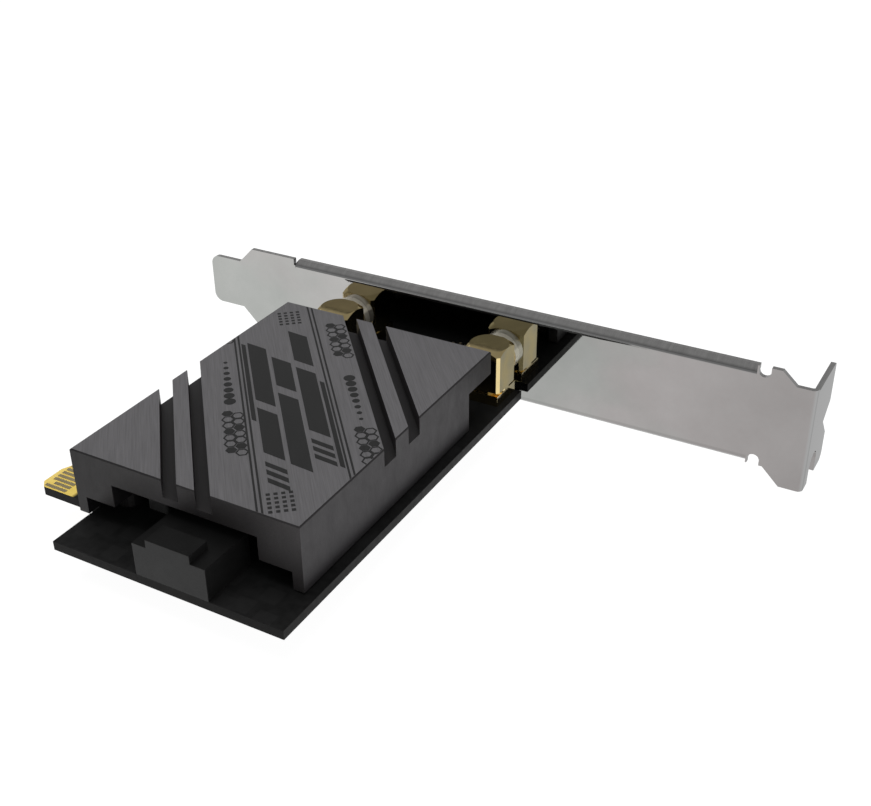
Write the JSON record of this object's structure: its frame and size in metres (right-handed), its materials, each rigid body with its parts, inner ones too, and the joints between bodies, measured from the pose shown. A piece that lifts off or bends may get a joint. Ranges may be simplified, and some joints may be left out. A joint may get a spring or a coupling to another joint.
{
  "type": "wireless network card",
  "caption": "Plug-in wireless network card: dark grooved heatsink over a black board, card edge, bright full-height slot bracket with threaded antenna jacks.",
  "frame": {"origin": "tip of the card edge in X, centre of its key notch in Y, middle of the board's thickness in Z", "axes": "+X from the card edge up the card and along the bracket to its screw tab, +Y from the key notch towards the bracket and its antenna jacks, +Z out of the component side"},
  "size_m": [0.12, 0.0878, 0.0215],
  "materials": {
    "black_solder_mask": "satin",
    "contact_gold": "polished",
    "bright_plated_steel": "polished",
    "dark_anodised_aluminium": "satin",
    "black_steel": "satin",
    "gold_plate": "polished",
    "white_insulator": "matte",
    "nickel_plate": "polished",
    "black_plastic": "satin",
    "tinned_steel": "satin",
    "chip_package": "matte",
    "grey_pad": "matte",
    "dark_ceramic": "matte",
    "tan_ceramic": "satin",
    "white_ceramic": "satin"
  },
  "bodies": {
    "root": {"circuit_board": "black_solder_mask", "component_side_contacts": "contact_gold", "solder_side_contacts": "contact_gold", "slot_bracket": "bright_plated_steel", "heatsink": "dark_anodised_aluminium", "heatsink_screws": "black_steel", "left_antenna_jack_body": "gold_plate", "right_antenna_jack_body": "gold_plate", "left_antenna_jack_contact": "contact_gold", "right_antenna_jack_contact": "contact_gold", "left_antenna_jack_insulator": "white_insulator", "right_antenna_jack_insulator": "white_insulator", "jack_spacer_rings": "nickel_plate", "jack_lock_washers": "nickel_plate", "jack_hex_nuts": "gold_plate", "header_housing": "black_plastic", "header_pins": "contact_gold", "header_dust_cap": "black_plastic", "shield_fence": "tinned_steel", "shield_lid": "tinned_steel", "radio_chip": "chip_package", "chip_thermal_pad": "grey_pad", "heatsink_thermal_pad": "grey_pad", "radio_front_ends": "chip_package", "reference_crystal": "tinned_steel", "memory_chip": "chip_package", "power_inductors": "dark_ceramic", "power_regulator": "chip_package", "supply_capacitors": "tan_ceramic", "antenna_filters": "white_ceramic", "coupling_capacitors": "tan_ceramic", "matching_parts": "tan_ceramic"}
  },
  "joints": []
}
